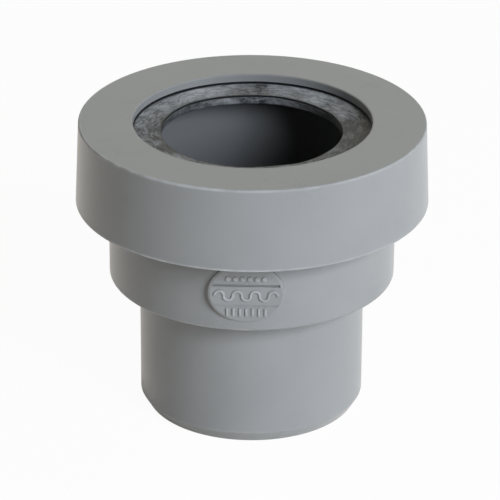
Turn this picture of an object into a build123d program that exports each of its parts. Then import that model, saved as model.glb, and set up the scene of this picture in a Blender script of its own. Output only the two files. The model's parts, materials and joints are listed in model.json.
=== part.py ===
from build123d import *
import math
import os

# Lip seal adapter for waste pipe, in millimetres. A stepped grey moulding has a spigot at its foot, a wider
# socket barrel above it and a cup at the top. A rubber lip seal sits in the cup, and a flat-topped collar
# that is welded over the cup holds it down. +Z runs up the bore, the origin is the centre of the spigot's
# foot, and the oval badge faces -Y.

# Pipe that both ends suit: the spigot has its size, and the socket takes its plain end
PIPE_DIAMETER = 40.0

# Spigot
SPIGOT_WALL = 3.0
SPIGOT_LENGTH = 24.8        # foot to shoulder
FOOT_CHAMFER_HEIGHT = 2.0   # lead-in on the outside of the foot
FOOT_CHAMFER_DEPTH = 1.2
BORE_CHAMFER = 0.6          # broken edge at the bore's lower end
SPIGOT_ROOT_CHAMFER = 0.4   # small cone where the spigot meets the shoulder

# Socket barrel
LIP_ROOM = 2.4              # room around the pipe for the lip once the pipe has folded it down
BARREL_WALL = 3.0
BARREL_HEIGHT = 14.1        # shoulder to the collar's foot
SHOULDER_ROUND = 0.5
STOP_THICKNESS = 3.0        # ledge that the inserted pipe stops on
STOP_CHAMFER = 1.0          # funnel from that ledge into the spigot's bore

# Cup that holds the seal
CUP_STEP = 2.7              # width of the shelf under the seal's heel
CUP_WALL = 3.0
CUP_INSET = 5.7             # the cup starts this far up inside the collar
CUP_FOOT_CHAMFER = 0.5
CUP_RIM_CHAMFER = 0.6
SHELF_THICKNESS = 3.0
SHELF_CHAMFER = 0.4

# Collar
WELD_GAP = 0.1              # film of solvent cement between the cup and the collar's skirt
COLLAR_HEIGHT = 14.8
COLLAR_WALL = 2.4           # skirt's thickness at its top
COLLAR_DRAFT = 2.5          # degrees that the skirt flares towards its foot
COLLAR_PLATE = 1.8
COLLAR_EDGE_CHAMFER = 0.3   # broken outer edge of the flat top
COLLAR_FOOT_CHAMFER = 0.25
SKIRT_CHAMFER = 0.6         # lead-in that slips over the cup
MOUTH_CLEARANCE = 1.05      # between the pipe and the collar's mouth, all round
MOUTH_CHAMFER = 0.2
MOUTH_RELIEF_HEIGHT = 0.35  # rebate under the mouth's edge, so that it can't cut the seal
MOUTH_RELIEF_DEPTH = 0.8

# Lip seal
SEAL_GAP = 0.1              # between the heel and the cup's bore
HEEL_SETBACK = 0.2          # the heel stands back this far from the socket's bore
LIP_BORE = 32.0
LIP_THICKNESS = 1.75        # at the lip's free edge
LIP_ROOT = 2.3              # at the heel
LIP_ROOT_CHAMFER = 0.8      # thickens the lip's underside at the heel
LIP_DROP = 0.3              # the free edge hangs this far below the clamped rim
LIP_TOP_CHAMFER = 0.2
LIP_FOOT_CHAMFER = 0.3

# Oval badge moulded on the front of the barrel, with a flat face and two engraved lines
BADGE_WIDTH = 13.2
BADGE_FOOT_MARGIN = 1.75    # shoulder to the badge
BADGE_TOP_MARGIN = 1.15     # badge to the collar's foot
BADGE_PROUD = 0.2           # at its middle, where the barrel bulges most
BADGE_ROOT = 0.4            # how far the badge is sunk into the barrel at its sides
BADGE_RIM_WIDTH = 0.35      # flat bevel round the badge's face
BADGE_RIM_DEPTH = 0.15
UPPER_LINE_HEIGHT = 1.5     # above the badge's centre
UPPER_LINE_WIDTH = 0.45
UPPER_LINE_DEPTH = 0.4
LOWER_LINE_HEIGHT = -2.3
LOWER_LINE_WIDTH = 0.2
LOWER_LINE_DEPTH = 0.08
LINE_INSET = 0.55           # the lines stop this far short of the badge's edge

# Radii that follow from those sizes
pipe_radius = PIPE_DIAMETER / 2
bore_radius = pipe_radius - SPIGOT_WALL
socket_radius = pipe_radius + LIP_ROOM
barrel_radius = socket_radius + BARREL_WALL
cup_bore_radius = socket_radius + CUP_STEP
cup_radius = cup_bore_radius + CUP_WALL
skirt_radius = cup_radius + WELD_GAP
collar_top_radius = skirt_radius + COLLAR_WALL
collar_foot_radius = collar_top_radius + COLLAR_HEIGHT * math.tan(math.radians(COLLAR_DRAFT))
mouth_radius = pipe_radius + MOUTH_CLEARANCE
heel_inner_radius = socket_radius + HEEL_SETBACK
heel_outer_radius = cup_bore_radius - SEAL_GAP
lip_radius = LIP_BORE / 2

# Heights above the foot
shoulder_z = SPIGOT_LENGTH
stop_z = shoulder_z + STOP_THICKNESS
collar_foot_z = shoulder_z + BARREL_HEIGHT
cup_foot_z = collar_foot_z + CUP_INSET
shelf_z = cup_foot_z + SHELF_THICKNESS
collar_top_z = collar_foot_z + COLLAR_HEIGHT
clamp_z = collar_top_z - COLLAR_PLATE   # underside of the plate, which bears on the cup's rim and the seal
lip_top_z = clamp_z - LIP_DROP

# Badge, and the plane of its face
badge_half_width = BADGE_WIDTH / 2
badge_half_height = (BARREL_HEIGHT - BADGE_FOOT_MARGIN - BADGE_TOP_MARGIN) / 2
badge_plane = Plane(
    origin=(0, -(barrel_radius + BADGE_PROUD), shoulder_z + BADGE_FOOT_MARGIN + badge_half_height),
    x_dir=(1, 0, 0),
    z_dir=(0, -1, 0),
)


def turned(corners):
    """Solid turned about Z from the corners of its half section: (radius, height, chamfer or 0)."""
    section = make_face(Polyline(*[(radius, height) for radius, height, _ in corners], close=True))
    for radius, height, size in corners:
        if size:
            corner = section.vertices().sort_by_distance((radius, height, 0))[0]
            section = chamfer(corner, size)
    return revolve(Plane.XZ * section, Axis.Z)


def stepped_tube():
    """Spigot, barrel and cup, which are one moulding."""
    tube = turned([
        (bore_radius, 0, BORE_CHAMFER),
        (pipe_radius - FOOT_CHAMFER_DEPTH, 0, 0),
        (pipe_radius, FOOT_CHAMFER_HEIGHT, 0),
        (pipe_radius, shoulder_z, SPIGOT_ROOT_CHAMFER),
        (barrel_radius, shoulder_z, 0),
        (barrel_radius, cup_foot_z, 0),
        (cup_radius, cup_foot_z, CUP_FOOT_CHAMFER),
        (cup_radius, clamp_z, CUP_RIM_CHAMFER),
        (cup_bore_radius, clamp_z, 0),
        (cup_bore_radius, shelf_z, 0),
        (socket_radius, shelf_z, SHELF_CHAMFER),
        (socket_radius, stop_z, 0),
        (bore_radius, stop_z, STOP_CHAMFER),
    ])
    circles = tube.edges().filter_by(GeomType.CIRCLE)
    shoulder = circles.sort_by_distance((barrel_radius, 0, shoulder_z))[0]
    return fillet(shoulder, SHOULDER_ROUND)


def badge_pad():
    """Oval pad whose flat face stands just clear of the barrel."""
    bulge = barrel_radius - math.sqrt(barrel_radius**2 - badge_half_width**2)
    thickness = BADGE_PROUD + bulge + BADGE_ROOT
    pad = extrude(badge_plane * Ellipse(badge_half_width, badge_half_height), -thickness)
    front = pad.faces().sort_by(Axis.Y)[0]
    return chamfer(front.edges(), BADGE_RIM_WIDTH, BADGE_RIM_DEPTH, reference=front)


def badge_line(height, width, depth):
    """Bar that engraves one line across the badge at a height above its centre."""
    run = 2 * (badge_half_width * math.sqrt(1 - (height / badge_half_height) ** 2) - LINE_INSET)
    return extrude(badge_plane * Pos(0, height) * Rectangle(run, width), -depth)


def adapter_body():
    """The stepped moulding with its badge."""
    body = stepped_tube() + badge_pad()
    body -= badge_line(UPPER_LINE_HEIGHT, UPPER_LINE_WIDTH, UPPER_LINE_DEPTH)
    body -= badge_line(LOWER_LINE_HEIGHT, LOWER_LINE_WIDTH, LOWER_LINE_DEPTH)
    return body


def retaining_collar():
    """Flat ring with a skirt, open below, that clamps the seal into the cup."""
    relief_z = clamp_z + MOUTH_RELIEF_HEIGHT
    relief_radius = mouth_radius + MOUTH_RELIEF_DEPTH
    return turned([
        (relief_radius, clamp_z, 0),
        (relief_radius, relief_z, 0),
        (mouth_radius, relief_z, 0),
        (mouth_radius, collar_top_z, MOUTH_CHAMFER),
        (collar_top_radius, collar_top_z, COLLAR_EDGE_CHAMFER),
        (collar_foot_radius, collar_foot_z, COLLAR_FOOT_CHAMFER),
        (skirt_radius, collar_foot_z, SKIRT_CHAMFER),
        (skirt_radius, clamp_z, 0),
    ])


def lip_seal():
    """Rubber ring with a short heel in the cup and a lip that reaches in over the socket."""
    return turned([
        (heel_inner_radius, shelf_z, 0),
        (heel_outer_radius, shelf_z, 0),
        (heel_outer_radius, clamp_z, 0),
        (mouth_radius, clamp_z, 0),
        (lip_radius, lip_top_z, LIP_TOP_CHAMFER),
        (lip_radius, lip_top_z - LIP_THICKNESS, LIP_FOOT_CHAMFER),
        (heel_inner_radius, clamp_z - LIP_ROOT, LIP_ROOT_CHAMFER),
    ])


os.makedirs("parts", exist_ok=True)
for piece in (adapter_body, lip_seal, retaining_collar):
    export_step(piece(), f"parts/{piece.__name__}.step")
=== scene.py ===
# %% [markdown]
# # A lip seal adapter for waste pipe
#
# The adapter is three pieces: a stepped grey moulding that stands on its spigot, a rubber ring that lies in the
# moulding's cup, and a wide collar that is welded over the cup and keeps the ring down. The CAD model holds them
# already, in metres, with +Z up the bore. It is loaded first and stays the frame that everything else is set
# against. Its box is kept, so that the dressed model's box can be printed beside it at the end. Its box is kept,
# because the dressed model may not grow past it.

# %% Load the frame
import json
import math

import bmesh
import bpy
from mathutils import Matrix, Vector, noise


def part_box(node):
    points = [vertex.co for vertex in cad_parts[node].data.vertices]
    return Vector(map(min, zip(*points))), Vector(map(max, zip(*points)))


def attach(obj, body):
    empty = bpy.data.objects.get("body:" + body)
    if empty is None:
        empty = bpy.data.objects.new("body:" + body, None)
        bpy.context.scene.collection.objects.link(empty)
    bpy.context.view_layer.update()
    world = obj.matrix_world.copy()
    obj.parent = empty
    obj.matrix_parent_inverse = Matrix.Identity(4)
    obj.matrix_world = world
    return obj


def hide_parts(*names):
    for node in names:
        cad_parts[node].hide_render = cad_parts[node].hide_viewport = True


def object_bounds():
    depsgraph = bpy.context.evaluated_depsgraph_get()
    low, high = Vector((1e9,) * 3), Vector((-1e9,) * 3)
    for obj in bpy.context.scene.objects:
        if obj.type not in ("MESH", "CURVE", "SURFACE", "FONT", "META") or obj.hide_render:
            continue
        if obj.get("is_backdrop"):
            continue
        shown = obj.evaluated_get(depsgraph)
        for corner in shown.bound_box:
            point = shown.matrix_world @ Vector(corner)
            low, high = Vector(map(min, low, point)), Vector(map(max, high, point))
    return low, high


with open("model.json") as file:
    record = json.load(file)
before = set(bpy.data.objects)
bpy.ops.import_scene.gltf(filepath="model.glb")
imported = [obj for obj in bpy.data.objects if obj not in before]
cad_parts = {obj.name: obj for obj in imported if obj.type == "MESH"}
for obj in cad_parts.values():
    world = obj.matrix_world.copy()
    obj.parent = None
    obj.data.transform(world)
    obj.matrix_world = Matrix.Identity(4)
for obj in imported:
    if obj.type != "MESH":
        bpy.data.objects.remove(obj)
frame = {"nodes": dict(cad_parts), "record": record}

MM = 0.001
cad_low, cad_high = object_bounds()
print("nodes:", sorted(frame["nodes"]), "box:", [round(side / MM, 2) for side in cad_high - cad_low], "mm")

# %% [markdown]
# Sizes that the CAD holds are read from it rather than typed again: heights and outer radii from the boxes of the
# nodes, and the radii of the holes from the record's mounts. A size that shows in neither, such as the taper of
# the collar, is named where it is first used. Blender works in metres here, so small sizes are written as so many
# times MM.

# %% Read sizes from the frame
body_low, body_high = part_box("adapter_body")
seal_low, seal_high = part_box("lip_seal")
collar_low, collar_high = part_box("retaining_collar")
mounts = {mount["name"]: mount for mount in frame["record"]["mounts"]}
spigot_radius = mounts["spigot"]["dims"]["r_mm"] * MM
mouth_radius = mounts["pipe_mouth"]["dims"]["r_mm"] * MM
lip_radius = mounts["seal_lip"]["dims"]["r_mm"] * MM
shoulder_height = mounts["shoulder"]["pos_m"][2]
clamp_height = body_high.z
print(f"mouth {mouth_radius / MM:.2f} mm, lip {lip_radius / MM:.2f} mm, clamped at {clamp_height / MM:.2f} mm")

# %% [markdown]
# ## The camera
#
# The adapter was photographed with a long lens from a little above, so its walls stay almost parallel. The long
# lens is rebuilt as it was: far away, narrow, and turned by the same small angles. Azimuth 0 looks straight at
# the oval badge on the front, and the camera stood a little to the right of that. The turns are multiplied as
# matrices, because then the roll is about the camera's own line of sight.

# %% Set the camera
CAMERA_DISTANCE = 0.6
CAMERA_LENS = 241.84
CAMERA_AZIMUTH = math.radians(2.1)
CAMERA_ELEVATION = math.radians(25.176)
CAMERA_ROLL = math.radians(0.269)
AIM_HEIGHT = 28.4 * MM
AIM_TO_THE_RIGHT = -0.325 * MM

scene = bpy.context.scene
camera = bpy.data.objects.new("camera", bpy.data.cameras.new("camera"))
scene.collection.objects.link(camera)
scene.camera = camera
camera.data.lens = CAMERA_LENS
turn = Matrix.Rotation(CAMERA_AZIMUTH, 4, "Z") @ Matrix.Rotation(math.pi / 2 - CAMERA_ELEVATION, 4, "X")
to_the_right, towards_camera = turn.col[0].xyz, turn.col[2].xyz
aim = Vector((0, 0, AIM_HEIGHT)) + AIM_TO_THE_RIGHT * to_the_right
stand = Matrix.Translation(aim + CAMERA_DISTANCE * towards_camera)
camera.matrix_world = stand @ turn @ Matrix.Rotation(CAMERA_ROLL, 4, "Z")
print("camera at", [round(c, 4) for c in camera.matrix_world.translation])

# %% [markdown]
# ## Nodes written as sums
#
# Materials here are made of nodes, and a long chain of Math nodes is hard to read when each one is wired by hand.
# One small class wraps a socket, so that `1 - mask * grain` adds the two nodes by itself. Every other node comes
# from its `node` method, which sets the node's settings before it fills or links the sockets. Colours are blended
# with a Mix node, since a Math node would turn them grey.

# %% A socket that can be added and multiplied
class Signal:
    """A value on its way through a node tree. A sum of signals adds Math nodes to that tree."""

    def __init__(self, tree, socket=None):
        self.tree = tree
        self.socket = socket

    def node(self, kind, settings=(), sockets=(), output=0):
        """Adds a node: its settings first, then the value or link of each socket. Gives one of its outputs."""
        made = self.tree.nodes.new(kind)
        for name, value in dict(settings).items():
            setattr(made, name, value)
        for name, value in dict(sockets).items():
            if isinstance(value, Signal):
                self.tree.links.new(value.socket, made.inputs[name])
            else:
                made.inputs[name].default_value = value
        return Signal(self.tree, made.outputs[output] if made.outputs else None)

    def math(self, operation, first, second=0.0):
        return self.node("ShaderNodeMath", {"operation": operation}, {0: first, 1: second})

    def __add__(self, other):
        return self.math("ADD", self, other)

    def __sub__(self, other):
        return self.math("SUBTRACT", self, other)

    def __rsub__(self, other):
        return self.math("SUBTRACT", other, self)

    def __mul__(self, other):
        return self.math("MULTIPLY", self, other)

    __radd__ = __add__
    __rmul__ = __mul__

    def root(self):
        return self.math("SQRT", self)

    def larger(self, other):
        return self.math("MAXIMUM", self, other)

    def rise(self, low, high):
        """0 below low, 1 above high, and a soft step between them."""
        settings = {"interpolation_type": "SMOOTHSTEP"}
        return self.node("ShaderNodeMapRange", settings, {"Value": self, "From Min": low, "From Max": high})

    def blend(self, first, second):
        """The first colour where this signal is 0, the second where it is 1."""
        return self.node("ShaderNodeMix", {"data_type": "RGBA"}, {0: self, 6: first, 7: second}, output=2)


print("Signal has", ", ".join(name for name in vars(Signal) if not name.startswith("__")))

# %% [markdown]
# ## The white table
#
# The adapter stands on a white sweep. Lamps strong enough to burn a floor out to white would wash the adapter out
# too, so the white comes from elsewhere: rays that come from the camera or from a reflection find a floor and a
# sky that are mostly plain white, and all other rays find a pale, slightly warm floor that is lit like anything
# else and throws light back up at the walls. A small share of the lit floor is left in what the camera sees, and
# that share carries the adapter's shadow. The floor inside the bore lies in the dark, so every ray finds it as it
# is lit. The floor on the left lies in the adapter's shade, deepest at its foot and a little warm, so reflections
# don't find it as white as the rest. What the flat top mirrors is the warm white ceiling of the room.

# %% The floor and the sky
FLOOR_SIZE = 3.0
FLOOR_DROP = 0.05 * MM
FLOOR_COLOUR = (0.86, 0.83, 0.77, 1)
FLOOR_WHITENESS = 0.96
DARK_BORE = (17 * MM, 19 * MM)
SHADED_SIDE = (-15 * MM, 10 * MM)
SIDE_SHADE = 0.15
SIDE_REACH = (40 * MM, 100 * MM)
FOOT_SHADE = 0.6
FOOT_REACH = (20.5 * MM, 25 * MM)
SKY_LIGHT = 0.015
CEILING = (1.0, 0.985, 0.87, 1)
SHADED_FLOOR = (1.0, 0.95, 0.9, 1)
WHITE = (1, 1, 1, 1)


def seen_directly(tree, reflected=1.0):
    """1 for rays from the camera and reflected for mirrored or refracted ones. 0 for rays that carry soft light."""
    camera_ray = tree.node("ShaderNodeLightPath", output="Is Camera Ray")
    glossy_ray = tree.node("ShaderNodeLightPath", output="Is Glossy Ray")
    through_ray = tree.node("ShaderNodeLightPath", output="Is Transmission Ray")
    return camera_ray.larger(glossy_ray.larger(through_ray) * reflected)


def new_finish(name):
    """A material with an empty tree, and the signal that its nodes are added through."""
    material = bpy.data.materials.new(name)
    material.use_nodes = True
    material.node_tree.nodes.clear()
    return material, Signal(material.node_tree)


table_white, tree = new_finish("table_white")
lit = tree.node("ShaderNodeBsdfDiffuse", sockets={"Color": FLOOR_COLOUR})
spot = tree.node("ShaderNodeTexCoord", output="Object")
from_foot = tree.node("ShaderNodeVectorMath", {"operation": "LENGTH"}, {0: spot}, output="Value")
across = tree.node("ShaderNodeSeparateXYZ", sockets={0: spot}, output="X")
wide_shade = SIDE_SHADE * (1 - from_foot.rise(*SIDE_REACH))
foot_shade = FOOT_SHADE * (1 - from_foot.rise(*FOOT_REACH))
on_the_left = 1 - across.rise(*SHADED_SIDE)
shade = on_the_left * (wide_shade + foot_shade)
outside = from_foot.rise(*DARK_BORE)
whiteness = seen_directly(tree, reflected=1 - shade) * outside * FLOOR_WHITENESS
mirrored = 1 - tree.node("ShaderNodeLightPath", output="Is Camera Ray")
tint = (mirrored * on_the_left).blend(WHITE, SHADED_FLOOR)
bright = tree.node("ShaderNodeEmission", sockets={"Color": tint, "Strength": 1.0})
both = tree.node("ShaderNodeMixShader", sockets={0: whiteness, 1: lit, 2: bright})
tree.node("ShaderNodeOutputMaterial", sockets={"Surface": both})

bm = bmesh.new()
bmesh.ops.create_grid(bm, x_segments=1, y_segments=1, size=FLOOR_SIZE / 2)
bmesh.ops.translate(bm, verts=bm.verts[:], vec=(0, 0, body_low.z - FLOOR_DROP))
floor = bpy.data.objects.new("floor", bpy.data.meshes.new("floor"))
bm.to_mesh(floor.data)
bm.free()
floor.data.materials.append(table_white)
scene.collection.objects.link(floor)
floor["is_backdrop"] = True

scene.world = bpy.data.worlds.new("white_room")
scene.world.use_nodes = True
scene.world.node_tree.nodes.clear()
tree = Signal(scene.world.node_tree)
strength = seen_directly(tree) * (1 - SKY_LIGHT) + SKY_LIGHT
tint = tree.node("ShaderNodeLightPath", output="Is Camera Ray").blend(CEILING, WHITE)
sky = tree.node("ShaderNodeBackground", sockets={"Color": tint, "Strength": strength})
tree.node("ShaderNodeOutputWorld", sockets={"Surface": sky})
scene.view_settings.view_transform = "Standard"
print("floor", FLOOR_SIZE, "m wide, sky light", SKY_LIGHT)

# %% [markdown]
# ## The lamps
#
# The shading on the round walls tells where the light came from: they are brightest a good way round to the right,
# and the collar's shadow on the barrel is short, so one large soft lamp stood at the right and not very high. A
# weak one further round keeps the right side bright up to its edge, a weaker one low down at the back left does
# the same for the left side, and a warm one high up behind lifts the flat top and the far rims. A lamp's power says
# little about how bright a surface becomes, so each lamp is given the light that it should put on a surface that
# faces it, where 1 shows a colour as it is written, and the power is worked out from that and the distance. The
# lamps only give soft light. Reflections find the white room in their place, because a lamp's mirror image would
# burn the flat top out to white when it is seen from the side across from that lamp.

# %% Hang the lamps
LAMP_DISTANCE = 1.2
LAMPS = {
    "window": {"azimuth": 39, "elevation": 27.5, "size": 0.5, "light": 1.12, "colour": (0.935, 0.995, 1.1)},
    "side": {"azimuth": 108, "elevation": 15, "size": 0.6, "light": 0.18, "colour": (0.97, 1.0, 1.03)},
    "behind": {"azimuth": 180, "elevation": 55, "size": 0.9, "light": 0.04, "colour": (1.0, 0.76, 0.42)},
    "left": {"azimuth": -130, "elevation": 13, "size": 0.5, "light": 0.13, "colour": (1.03, 1.0, 0.96)},
}


def hang_lamp(name, azimuth, elevation, size, light, colour, distance=LAMP_DISTANCE):
    """A square soft lamp that looks at the adapter. Azimuth is counted from the camera, to its right."""
    lamp = bpy.data.objects.new(name, bpy.data.lights.new(name, "AREA"))
    scene.collection.objects.link(lamp)
    lamp.data.size = size
    lamp.data.color = colour
    lamp.data.energy = light * (math.pi * distance) ** 2
    swing = Matrix.Rotation(CAMERA_AZIMUTH + math.radians(azimuth), 4, "Z")
    tilt = Matrix.Rotation(math.pi / 2 - math.radians(elevation), 4, "X")
    lamp.matrix_world = Matrix.Translation(aim) @ swing @ tilt @ Matrix.Translation((0, 0, distance))
    lamp.visible_camera = False
    lamp.visible_glossy = False
    return lamp


for name, settings in LAMPS.items():
    lamp = hang_lamp(name, **settings)
    print(name, round(lamp.data.energy, 2), "W")

# %% [markdown]
# ## Grey PVC
#
# The moulding and the collar are satin grey PVC. Seen close, such a surface isn't one grey: the pigment clouds a
# little where the melt flowed, a very fine grain comes from the steel of the mould, corners are painted pale in a
# thin line that is partly wear from handling and partly painted highlight, more on the left than on the right, a
# difference that is painted highlight only, and the bore that the core leaves is duller and its grey is darkened
# as painted shade. All of it is laid out in Object coordinates, scaled to millimetres. The pale corners could be
# found from the mesh, but a turned part has so few of them that a list of their radii and heights is simpler and
# gives a clean thin line. A piece can also say for itself where it is painted pale, with an attribute; one that
# has no such attribute reads as 0.

# %% Where a point lies on the turned part
def place_on_part(tree):
    """The point in millimetres, its distance from the bore's axis, and its height above the foot."""
    metres = tree.node("ShaderNodeTexCoord", output="Object")
    point = tree.node("ShaderNodeVectorMath", {"operation": "SCALE"}, {0: metres, "Scale": 1 / MM})
    level = tree.node("ShaderNodeVectorMath", {"operation": "MULTIPLY"}, {0: point, 1: (1, 1, 0)})
    radius = tree.node("ShaderNodeVectorMath", {"operation": "LENGTH"}, {0: level}, output="Value")
    height = tree.node("ShaderNodeSeparateXYZ", sockets={0: point}, output="Z")
    return point, radius, height


def clouds(tree, point, per_mm, detail=3.0, roughness=0.5):
    """Soft noise around 0.5, with so many clouds to the millimetre."""
    sockets = {"Vector": point, "Scale": per_mm, "Detail": detail, "Roughness": roughness}
    return tree.node("ShaderNodeTexNoise", sockets=sockets)


# %% The corners that are painted pale, as wear from handling and as painted highlight
COLLAR_TAPER = math.tan(math.radians(2.5))
SHOULDER_STEP = 5.4 * MM
LEAD_IN_HEIGHT = 2.0 * MM

collar_foot_radius = collar_high.x
collar_top_radius = collar_foot_radius - (collar_high.z - collar_low.z) * COLLAR_TAPER
# Each corner's amount sets a pale line that is partly wear from handling and partly painted highlight.
worn_and_highlit_corners = {
    "mouth": (mouth_radius, collar_high.z, 0.15),
    "collar top": (collar_top_radius, collar_high.z, 0.85),
    "collar foot": (collar_foot_radius, collar_low.z, 1.0),
    "shoulder": (spigot_radius + SHOULDER_STEP, shoulder_height, 0.75),
    "lead-in": (spigot_radius, LEAD_IN_HEIGHT, 0.15),
}
for name, (corner_radius, corner_height, amount) in worn_and_highlit_corners.items():
    print(f"{name}: radius {corner_radius / MM:.2f} mm, height {corner_height / MM:.2f} mm, rubbed {amount}")

# %% Where the grey is painted pale with wear and highlight, or made dull and darker with painted shade
# Pairs are the two ends of a soft step: the cloud pair in the noise and all others in millimetres. The edges are
# counted from the axis, the reach of the pale line from a corner, and the side where its painted highlight fades out
# to the right.
WEAR_AND_HIGHLIGHT_PER_MM = 0.35
WEAR_AND_HIGHLIGHT_CLOUD = (0.35, 0.6)
WEAR_AND_HIGHLIGHT_LEAST = 0.45
WEAR_AND_HIGHLIGHT_REACH = (0.1, 0.6)
PAINTED_HIGHLIGHT_FADE_SIDE = (-12, 15)
PAINTED_HIGHLIGHT_FADE = 0.65
BORE_EDGE = (17.2, 18.0)
SOCKET_EDGE = (22.45, 22.8)
MOUTH_EDGE = (21.15, 21.45)
# The mouth's wall takes part of the bore's duller finish and part of its painted shade.
MOUTH_DULL_AND_SHADED = 0.38
ABOVE_SHOULDER = (0.2, 1.0)
ABOVE_CLAMP = (-3, -2)

grey_pvc, tree = new_finish("grey_pvc_satin")
point, radius, height = place_on_part(tree)


def near_corner(corner_radius, corner_height, amount):
    """How pale a corner that runs right round the part is painted, as wear and as painted highlight. It fades out
    over the width of the line.
    """
    across = radius - corner_radius / MM
    up = height - corner_height / MM
    return (1 - (across * across + up * up).root().rise(*WEAR_AND_HIGHLIGHT_REACH)) * amount


scuffed_and_highlit, *others = [near_corner(*corner) for corner in worn_and_highlit_corners.values()]
for other in others:
    scuffed_and_highlit = scuffed_and_highlit.larger(other)
# The pale lines are partly wear and partly painted highlight. They fade towards the right, and that difference
# between the sides is painted highlight only.
handled_and_highlit = tree.node("ShaderNodeAttribute", {"attribute_name": "handled_and_highlit"}, output="Fac")
wear_and_highlight_cloud = clouds(tree, point, per_mm=WEAR_AND_HIGHLIGHT_PER_MM).rise(*WEAR_AND_HIGHLIGHT_CLOUD)
to_the_side = tree.node("ShaderNodeSeparateXYZ", sockets={0: point}, output="X")
wear_and_highlight = scuffed_and_highlit.larger(handled_and_highlit) * (WEAR_AND_HIGHLIGHT_LEAST + (1 - WEAR_AND_HIGHLIGHT_LEAST) * wear_and_highlight_cloud)
wear_and_highlight = wear_and_highlight * (1 - PAINTED_HIGHLIGHT_FADE * to_the_side.rise(*PAINTED_HIGHLIGHT_FADE_SIDE))

# The bore, the socket and the mouth's wall are made duller, and their grey is darkened as painted shade.
in_bore = 1 - radius.rise(*BORE_EDGE)
in_socket = (1 - radius.rise(*SOCKET_EDGE)) * (height - shoulder_height / MM).rise(*ABOVE_SHOULDER)
in_mouth = (1 - radius.rise(*MOUTH_EDGE)) * MOUTH_DULL_AND_SHADED
above_seal = (height - clamp_height / MM).rise(*ABOVE_CLAMP)
dull_and_shaded_inside = above_seal * in_mouth + (1 - above_seal) * in_bore.larger(in_socket)
print("masks for the grey:", len(grey_pvc.node_tree.nodes), "nodes")

# %% Mix the grey
PVC_GREY = (0.266, 0.271, 0.267, 1)
PVC_CLOUD = (0.282, 0.287, 0.282, 1)
# The pale grey of the corners and marks: partly wear, partly painted highlight.
PVC_WORN_AND_HIGHLIT = (0.5, 0.505, 0.5, 1)
# The darker grey inside is painted shade.
PVC_SHADED_INSIDE = (0.125, 0.129, 0.131, 1)
PVC_IOR = 1.54
FLOW_PER_MM, FLOW_CLOUD = 0.09, (0.3, 0.7)
GRAIN_PER_MM, GRAIN_BUMP, GRAIN_DEPTH = 9.0, 0.02, 0.02 * MM
SATIN, FLOW_ROUGH, GRAIN_ROUGH, INSIDE_ROUGH, SCUFF_ROUGH = 0.24, 0.06, 0.04, 0.14, 0.3

flow = clouds(tree, point, per_mm=FLOW_PER_MM, detail=4.0)
grain = clouds(tree, point, per_mm=GRAIN_PER_MM, detail=1.0)
colour = flow.rise(*FLOW_CLOUD).blend(PVC_GREY, PVC_CLOUD)
colour = dull_and_shaded_inside.blend(wear_and_highlight.blend(colour, PVC_WORN_AND_HIGHLIT), PVC_SHADED_INSIDE)
roughness = SATIN + flow * FLOW_ROUGH + grain * GRAIN_ROUGH + dull_and_shaded_inside * INSIDE_ROUGH + scuffed_and_highlit * SCUFF_ROUGH
relief = tree.node("ShaderNodeBump", sockets={
    "Strength": GRAIN_BUMP, "Distance": GRAIN_DEPTH, "Height": grain,
})
surface = tree.node("ShaderNodeBsdfPrincipled", sockets={
    "Base Color": colour, "Roughness": roughness, "Normal": relief, "IOR": PVC_IOR,
})
tree.node("ShaderNodeOutputMaterial", sockets={"Surface": surface})
print("grey PVC:", len(grey_pvc.node_tree.nodes), "nodes")

# %% [markdown]
# ## The stepped moulding
#
# Spigot, barrel, cup and badge are right as the CAD has them, with arcs that are smooth already, so the node
# stays and only gets the new finish.

# %% Dress the moulding
body = frame["nodes"]["adapter_body"]
body.material_slots[0].material = grey_pvc
print("moulding:", len(body.data.polygons), "triangles from the CAD")

# %% [markdown]
# ## The collar
#
# The collar is a ring with a flat top and a skirt. Its edges are small rounds that catch the light in a thin
# line, and a CAD chamfer of the same size can't do that. A ring like this could be cut out of a cylinder with
# booleans, but it is a turned form: the half section is drawn as a loop of edges, its corners are rounded with a
# vertex bevel, and a full spin about Z makes the ring.

# %% Helpers for turned pieces
SPIN_STEPS = 288
ROUND_STEPS = 5
MERGE = 0.0005 * MM
SHARP_ANGLE = math.radians(35)


def half_section(corners):
    """A closed loop of edges from (radius, height, rounding) corners. Gives the bmesh and the corner vertices."""
    bm = bmesh.new()
    verts = [bm.verts.new((radius, 0, height)) for radius, height, _ in corners]
    for first, second in zip(verts, verts[1:] + verts[:1]):
        bm.edges.new((first, second))
    return bm, verts


def round_corners(bm, verts, corners):
    """Rounds each corner of the section that has a rounding."""
    for vert, (_, _, rounding) in zip(verts, corners):
        if rounding:
            bmesh.ops.bevel(
                bm, geom=[vert], offset=rounding, offset_type="OFFSET", affect="VERTICES",
                segments=ROUND_STEPS, profile=0.5, material=-1,
            )


def spin_full_turn(bm):
    """Turns the section about Z into a closed ring."""
    bmesh.ops.spin(
        bm, geom=bm.verts[:] + bm.edges[:], cent=(0, 0, 0), axis=(0, 0, 1),
        angle=math.tau, steps=SPIN_STEPS, use_merge=True,
    )


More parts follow.
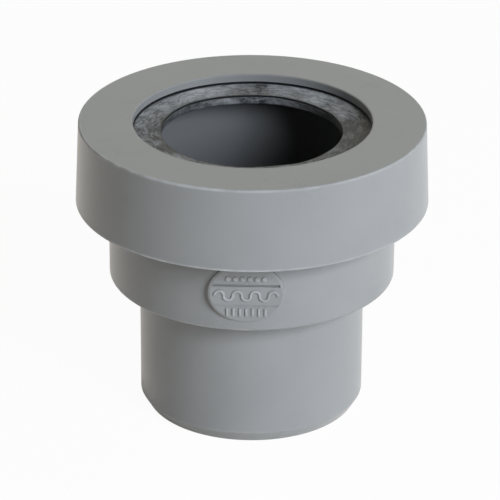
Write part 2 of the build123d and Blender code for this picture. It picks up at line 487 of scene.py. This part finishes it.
def finished_piece(bm, name, finish):
    """Closes the mesh, points its faces outwards and makes it a smooth object that rides on the adapter."""
    bmesh.ops.remove_doubles(bm, verts=bm.verts[:], dist=MERGE)
    bmesh.ops.recalc_face_normals(bm, faces=bm.faces[:])
    mesh = bpy.data.meshes.new(name)
    bm.to_mesh(mesh)
    bm.free()
    mesh.shade_smooth()
    mesh.set_sharp_from_angle(angle=SHARP_ANGLE)
    mesh.materials.append(finish)
    piece = bpy.data.objects.new(name, mesh)
    scene.collection.objects.link(piece)
    piece.modifiers.new("even_shading", "WEIGHTED_NORMAL").keep_sharp = True
    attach(piece, "root")
    triangles = sum(len(face.vertices) - 2 for face in mesh.polygons)
    print(name, len(mesh.vertices), "vertices,", triangles, "triangles")
    return piece


# %% Turn the collar
WELD_GAP = 0.1 * MM
SKIRT_LEAD_IN = 0.6 * MM
RELIEF_HEIGHT = 0.35 * MM
RELIEF_DEPTH = 0.8 * MM
RELIEF_ROUND = 0.08 * MM
MOUTH_ROUND = 0.25 * MM
COLLAR_TOP_ROUND = 0.28 * MM
COLLAR_FOOT_ROUND = 0.14 * MM

skirt_radius = body_high.x + WELD_GAP
collar_corners = [
    (mouth_radius, clamp_height + RELIEF_HEIGHT, RELIEF_ROUND),
    (mouth_radius, collar_high.z, MOUTH_ROUND),
    (collar_top_radius, collar_high.z, COLLAR_TOP_ROUND),
    (collar_foot_radius, collar_low.z, COLLAR_FOOT_ROUND),
    (skirt_radius + SKIRT_LEAD_IN, collar_low.z, 0),
    (skirt_radius, collar_low.z + SKIRT_LEAD_IN, 0),
    (skirt_radius, clamp_height, 0),
    (mouth_radius + RELIEF_DEPTH, clamp_height, 0),
    (mouth_radius + RELIEF_DEPTH, clamp_height + RELIEF_HEIGHT, 0),
]
bm, verts = half_section(collar_corners)
round_corners(bm, verts, collar_corners)
spin_full_turn(bm)
collar = finished_piece(bm, "collar_ring", grey_pvc)
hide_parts("retaining_collar")

# %% [markdown]
# ## Dusted rubber
#
# The seal is black rubber, but it comes out of the box grey: it is dusted with talc so that it doesn't stick, and
# fitting it has dragged the dust round in streaks. The streaks follow the ring, so their noise is laid out on the
# direction round the ring and the distance from its axis, with the direction scaled much more weakly. Some sides
# of the ring carry more dust and some less. The dust thins out towards the lip's free edge, and the sharp corner
# there and the edge under the collar are left bare black as painted shade. Where the dust can lie at all is painted
# on the ring itself as an attribute, because the ring is bent after it is turned and its corners then have no fixed
# radius.

# %% Coordinates along the ring
DRIFT_PER_MM, DRIFT = 0.12, 6.0
SIDE_EDGE = (0.9, 1.0)

dusted_rubber, tree = new_finish("dusted_rubber")
point, radius, height = place_on_part(tree)
level = tree.node("ShaderNodeVectorMath", {"operation": "MULTIPLY"}, {0: point, 1: (1, 1, 0)})
heading = tree.node("ShaderNodeVectorMath", {"operation": "NORMALIZE"}, {0: level})
drift = clouds(tree, point, per_mm=DRIFT_PER_MM, detail=2.0) * DRIFT
reach = tree.node("ShaderNodeCombineXYZ", sockets={"Z": radius + height + drift})


def along_ring(round_scale, across_scale):
    """Coordinates that run slowly round the ring and fast across it."""
    slow = tree.node("ShaderNodeVectorMath", {"operation": "SCALE"}, {0: heading, "Scale": round_scale})
    fast = tree.node("ShaderNodeVectorMath", {"operation": "SCALE"}, {0: reach, "Scale": across_scale})
    return tree.node("ShaderNodeVectorMath", {"operation": "ADD"}, {0: slow, 1: fast})


def towards(side):
    """1 on the side of the ring that lies in this direction, and 0 from about 25 degrees away from it."""
    facing = tree.node("ShaderNodeVectorMath", {"operation": "DOT_PRODUCT"}, {0: heading, 1: side}, output="Value")
    return facing.rise(*SIDE_EDGE)


print("coordinates along the ring:", len(dusted_rubber.node_tree.nodes), "nodes")

# %% Mix the rubber and its dust
RUBBER_BLACK = (0.016, 0.017, 0.019, 1)
TALC_GREY = (0.52, 0.532, 0.537, 1)
RUBBER_IOR = 1.4
RUBBER_ROUGH, DUST_ROUGH = 0.5, 0.35
DUST_BUMP, DUST_DEPTH = 0.3, 0.08 * MM
PATCH_PER_MM, PATCH_EDGE, PATCH_DUST = 0.3, (0.36, 0.64), 0.28
STREAK_SCALES, STREAK_EDGE, STREAK_DUST = (9.0, 1.9), (0.38, 0.64), 0.34
SPECK_PER_MM, SPECK_EDGE, SPECK_DUST = 2.6, (0.4, 0.66), 0.2
DUST_LOST = 0.02
# Sides with more dust and sides with less, each a direction round the ring and an amount.
DUSTY_SIDES = [((-0.485, 0.875, 0), 0.42), ((0.42, 0.91, 0), 0.18), ((0.88, 0.47, 0), 0.08)]
THIN_DUST_SIDES = [
    ((1.0, 0.0, 0), 0.3), ((0.0, 1.0, 0), 0.12), ((-0.95, -0.31, 0), 0.2), ((0.9, -0.43, 0), 0.1),
]

patches = clouds(tree, point, per_mm=PATCH_PER_MM, detail=3.0).rise(*PATCH_EDGE)
streaks = clouds(tree, along_ring(*STREAK_SCALES), per_mm=1.0, detail=4.0, roughness=0.6).rise(*STREAK_EDGE)
specks = clouds(tree, point, per_mm=SPECK_PER_MM, detail=3.0, roughness=0.65).rise(*SPECK_EDGE)
kept = tree.node("ShaderNodeAttribute", {"attribute_name": "dusting"}, output="Fac")
dust = patches * PATCH_DUST + streaks * STREAK_DUST + specks * SPECK_DUST - DUST_LOST
for side, amount in DUSTY_SIDES:
    dust = dust + towards(side) * kept * amount
for side, amount in THIN_DUST_SIDES:
    dust = dust - towards(side) * kept * amount
dust = dust.larger(0.0) * kept
colour = dust.blend(RUBBER_BLACK, TALC_GREY)
roughness = RUBBER_ROUGH + dust * DUST_ROUGH
relief = tree.node("ShaderNodeBump", sockets={
    "Strength": DUST_BUMP, "Distance": DUST_DEPTH, "Height": streaks + specks,
})
surface = tree.node("ShaderNodeBsdfPrincipled", sockets={
    "Base Color": colour, "Roughness": roughness, "Normal": relief, "IOR": RUBBER_IOR,
})
tree.node("ShaderNodeOutputMaterial", sockets={"Surface": surface})
print("rubber:", len(dusted_rubber.node_tree.nodes), "nodes")

# %% [markdown]
# ## The lip seal
#
# The ring has a short heel, hidden in the cup, and a flat lip that reaches in over the socket. The mould parts at
# the lip's inner corner and leaves a narrow trimmed groove there. Rubber is never quite round: the lip stands a
# little wavy and further out at the back left. The ring is turned from its half section as the collar is, with
# extra edges across the lip, and the vertices of the lip are then moved by a smooth noise that fades out where
# the collar clamps it.

# %% Turn the seal
HEEL_WIDTH = 2.4 * MM
LIP_DROP = 0.3 * MM
LIP_THICKNESS = 1.75 * MM
LIP_ROOT = 2.3 * MM
GROOVE_TOP = 0.05 * MM
GROOVE_HEIGHT = 0.26 * MM
GROOVE_DEPTH = 0.35 * MM
HEEL_ROUND = 0.3 * MM
GROOVE_ROUND = 0.06 * MM
LIP_FOOT_ROUND = 0.35 * MM
LIP_ROOT_ROUND = 0.8 * MM
LIP_CUTS = 12

lip_top = clamp_height - LIP_DROP
groove_foot = lip_top - GROOVE_TOP - GROOVE_HEIGHT
heel_inner = seal_high.x - HEEL_WIDTH
seal_corners = [
    (heel_inner, seal_low.z, HEEL_ROUND),
    (seal_high.x, seal_low.z, HEEL_ROUND),
    (seal_high.x, clamp_height, HEEL_ROUND),
    (mouth_radius, clamp_height, 0),
    (lip_radius, lip_top, 0),
    (lip_radius, lip_top - GROOVE_TOP, 0),
    (lip_radius + GROOVE_DEPTH, lip_top - GROOVE_TOP, 0),
    (lip_radius + GROOVE_DEPTH, groove_foot, 0),
    (lip_radius, groove_foot, GROOVE_ROUND),
    (lip_radius, lip_top - LIP_THICKNESS, LIP_FOOT_ROUND),
    (heel_inner, clamp_height - LIP_ROOT, LIP_ROOT_ROUND),
]
bm, verts = half_section(seal_corners)
round_corners(bm, verts, seal_corners)
long_edges = [edge for edge in bm.edges if edge.calc_length() > HEEL_WIDTH
              and min(vert.co.x for vert in edge.verts) < mouth_radius]
bmesh.ops.subdivide_edges(bm, edges=long_edges, cuts=LIP_CUTS)
spin_full_turn(bm)
print("seal turned:", len(bm.verts), "vertices,", len(long_edges), "edges cut across the lip")

# %% Paint where dust can lie
# Vertices this close to the face's two edges, and the groove, get no dust, so those corners stay black as painted
# shade lines.
BARE_CORNER_SHADE_WIDTH = 0.1 * MM
EDGE_DUST = 0.62
EDGE_WIDTH = 1.3 * MM
# The strip under the groove keeps most dust at its back and less towards its sides; that falloff is partly painted
# shade where the strip turns away from the light.
FRONT_STRIP_DUST, BACK_STRIP_DUST = 0.2, 0.58
BACK_FOCUS = 4
UNDERSIDE_DUST = 0.05

dusting = bm.verts.layers.float.new("dusting")
for vert in bm.verts:
    from_axis = math.hypot(vert.co.x, vert.co.y)
    on_face = vert.co.z >= lip_top and lip_radius + BARE_CORNER_SHADE_WIDTH < from_axis < mouth_radius - BARE_CORNER_SHADE_WIDTH
    on_strip = vert.co.z < groove_foot - BARE_CORNER_SHADE_WIDTH / 4 and from_axis < lip_radius + BARE_CORNER_SHADE_WIDTH
    if on_face:
        from_edge = min(1.0, (from_axis - lip_radius) / EDGE_WIDTH)
        vert[dusting] = EDGE_DUST + (1 - EDGE_DUST) * from_edge
    elif on_strip:
        back = max(0.0, vert.co.y / from_axis) ** BACK_FOCUS
        vert[dusting] = FRONT_STRIP_DUST + (BACK_STRIP_DUST - FRONT_STRIP_DUST) * back
    elif vert.co.z < lip_top - LIP_THICKNESS / 2:
        vert[dusting] = UNDERSIDE_DUST
print("dust can lie on", sum(vert[dusting] > 0 for vert in bm.verts), "of", len(bm.verts), "vertices")

# %% Let the lip wander
WANDER_ROUND = 0.16 * MM
WANDER_UP = 0.14 * MM
SIDE_PULL = 0.35 * MM
SIDE_LIFT = 0.12 * MM
PULLED_SIDE, PULL_FOCUS = Vector((-0.75, 0.66, 0)), 6
WAVE_SCALE, RIPPLE_SCALE, LIFT_SCALE = 1.7, 5.0, 2.1
RIPPLE_SHARE = 0.5
RIPPLE_SHIFT, LIFT_SHIFT = Vector((7, 0, 0)), Vector((0, 3, 0))

for vert in bm.verts:
    level = Vector((vert.co.x, vert.co.y, 0))
    freedom = (mouth_radius - level.length) / (mouth_radius - lip_radius)
    if freedom <= 0:
        continue
    outward = level.normalized()
    pulled = max(0.0, outward.dot(PULLED_SIDE)) ** PULL_FOCUS
    wave = noise.noise(outward * WAVE_SCALE)
    ripple = noise.noise(outward * RIPPLE_SCALE + RIPPLE_SHIFT)
    lift = noise.noise(outward * LIFT_SCALE + LIFT_SHIFT)
    vert.co += outward * freedom**2 * (WANDER_ROUND * (wave + RIPPLE_SHARE * ripple) + SIDE_PULL * pulled)
    vert.co.z += freedom**2 * (WANDER_UP * lift + SIDE_LIFT * pulled)
seal = finished_piece(bm, "seal_ring", dusted_rubber)
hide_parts("lip_seal")

# %% [markdown]
# ## Marks on the badge
#
# The oval badge carries raised marks in three rows, parted by its two engraved lines: a wave, the usual sign for
# water, with a row of pips above it and a row of short bars below. Each mark starts as a flat outline on the
# badge's face, is thickened with solidify and gets a small round along its front edge, which is what catches the
# light on moulded marks. Solidify works along the normals, so all outlines are made to face the front first. The
# wave is a short edge that is spun to and fro along a row of centres, and each spin picks up the edge where the
# last one left it. Marks that stand proud are painted pale like the corners, partly as wear and partly as painted
# highlight, so their fronts carry the attribute that the finish looks for.

# %% Find the badge's face
BADGE_SEARCH = -24 * MM
badge_points = [vert.co for vert in body.data.vertices if vert.co.y < BADGE_SEARCH
                and shoulder_height + MM < vert.co.z < collar_low.z]
badge_face = min(point.y for point in badge_points)
badge_middle = (min(point.z for point in badge_points) + max(point.z for point in badge_points)) / 2
badge_reach = max(abs(point.x) for point in badge_points)
print(f"badge face at y {badge_face / MM:.2f} mm, middle {badge_middle / MM:.2f}, half width {badge_reach / MM:.2f}")

# %% Draw the outlines of the marks
PIP_ROW, PIP_RADIUS, PIP_PITCH, PIPS, PIP_SIDES = 2.75 * MM, 0.46 * MM, 1.25 * MM, 6, 20
BAR_ROW, BAR_SIZE, BAR_PITCH, BARS = -3.5 * MM, (0.42 * MM, 1.5 * MM), 1.1 * MM, 7
WAVE_ROW, WAVE_RADIUS, WAVE_TURN, WAVE_STROKE = -0.4 * MM, 0.78 * MM, math.radians(95), 0.42 * MM
WAVES, WAVE_STEPS = 7, 10


def row_of_places(row, pitch, count):
    """Upright places on the badge's face, in a row that is centred on it, this far above its middle."""
    upright = Matrix.Rotation(math.pi / 2, 4, "X")
    for index in range(count):
        spot = ((index - (count - 1) / 2) * pitch, badge_face, badge_middle + row)
        yield Matrix.Translation(spot) @ upright


bm = bmesh.new()
for place in row_of_places(PIP_ROW, PIP_PITCH, PIPS):
    bmesh.ops.create_circle(bm, cap_ends=True, segments=PIP_SIDES, radius=PIP_RADIUS, matrix=place)
bar_shape = Matrix.Diagonal((BAR_SIZE[0] / 2, BAR_SIZE[1] / 2, 1, 1))
for place in row_of_places(BAR_ROW, BAR_PITCH, BARS):
    bmesh.ops.create_grid(bm, x_segments=1, y_segments=1, size=1, matrix=place @ bar_shape)

half_chord = WAVE_RADIUS * math.sin(WAVE_TURN)
start = Vector((-WAVES * half_chord, badge_face, badge_middle + WAVE_ROW))
across = Vector((-math.sin(WAVE_TURN), 0, math.cos(WAVE_TURN))) * WAVE_STROKE / 2
ends = [bm.verts.new(start - across), bm.verts.new(start + across)]
stroke = [*ends, bm.edges.new(ends)]
for index in range(WAVES):
    side = 1 if index % 2 == 0 else -1
    centre = start + Vector(((2 * index + 1) * half_chord, 0, -side * WAVE_RADIUS * math.cos(WAVE_TURN)))
    swept = bmesh.ops.spin(
        bm, geom=stroke, cent=centre, axis=(0, 1, 0), angle=side * 2 * WAVE_TURN, steps=WAVE_STEPS,
    )
    stroke = swept["geom_last"]
print("outlines:", len(bm.faces), "faces")

# %% Raise the marks
MARK_PROUD = 0.26 * MM
MARK_SUNK = 0.04 * MM
MARK_ROUND, MARK_ROUND_STEPS = 0.11 * MM, 3
# How pale the fronts of the marks are painted: partly wear, partly painted highlight.
MARK_WEAR_AND_HIGHLIGHT = 0.65

outlines = bm.faces[:]
for face in outlines:
    face.normal_update()
    if face.normal.y > 0:
        face.normal_flip()
bmesh.ops.translate(bm, verts=bm.verts[:], vec=(0, -MARK_PROUD, 0))
bmesh.ops.solidify(bm, geom=outlines, thickness=MARK_PROUD + MARK_SUNK)
bmesh.ops.remove_doubles(bm, verts=bm.verts[:], dist=MERGE)
front = badge_face - MARK_PROUD / 2
rims = [edge for edge in bm.edges if all(vert.co.y < front for vert in edge.verts)
        and edge.calc_face_angle(0) > SHARP_ANGLE]
bmesh.ops.bevel(
    bm, geom=rims, offset=MARK_ROUND, offset_type="OFFSET", affect="EDGES",
    segments=MARK_ROUND_STEPS, profile=0.5, material=-1,
)
# The fronts of the marks are painted pale, as wear and as painted highlight.
handled_and_highlit = bm.verts.layers.float.new("handled_and_highlit")
for vert in bm.verts:
    vert[handled_and_highlit] = MARK_WEAR_AND_HIGHLIGHT if vert.co.y < front else 0.0
marks = finished_piece(bm, "badge_marks", grey_pvc)
depths = [vert.co.y / MM for vert in marks.data.vertices]
print(f"marks reach from y {min(depths):.3f} mm to {max(depths):.3f} mm")

# %% Compare the boxes and finish
new_low, new_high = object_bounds()
for name, (low, high) in {"CAD": (cad_low, cad_high), "dressed": (new_low, new_high)}.items():
    print(name, [round(side / MM, 3) for side in high - low], "mm")
